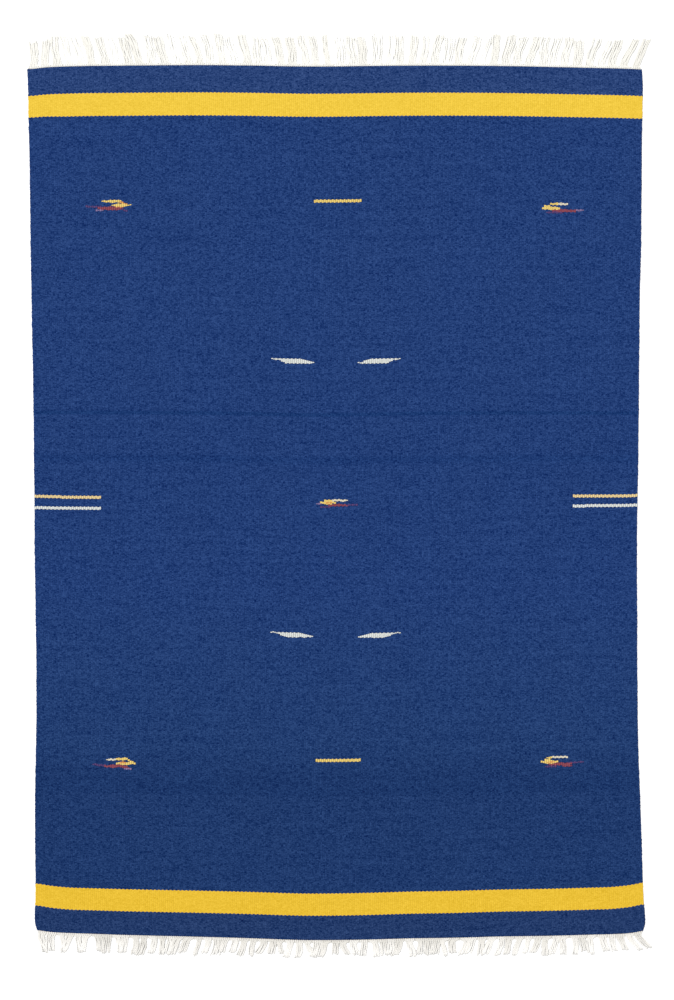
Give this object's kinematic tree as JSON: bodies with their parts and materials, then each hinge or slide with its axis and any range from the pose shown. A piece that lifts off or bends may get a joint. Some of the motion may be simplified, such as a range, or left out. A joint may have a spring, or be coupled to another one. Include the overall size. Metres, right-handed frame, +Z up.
{
  "type": "kilim rug",
  "caption": "Oblong flat-woven kilim rug with a stripe near each end, small woven figures and a cotton fringe at both ends, lying flat.",
  "frame": {"origin": "on the floor, under the middle of the cloth", "axes": "+Z up, away from the floor; +Y along the warp towards the head end, which is the top of the picture; +X to the right of the picture"},
  "size_m": [1.4349, 2.1307, 0.0044],
  "materials": {
    "dyed_wool": "matt weft-faced weave, blue with yellow stripes",
    "undyed_cotton": "matt twisted off-white warp yarn"
  },
  "bodies": {
    "root": {"woven_rug": "dyed_wool", "head_fringe": "undyed_cotton", "foot_fringe": "undyed_cotton"}
  },
  "joints": []
}
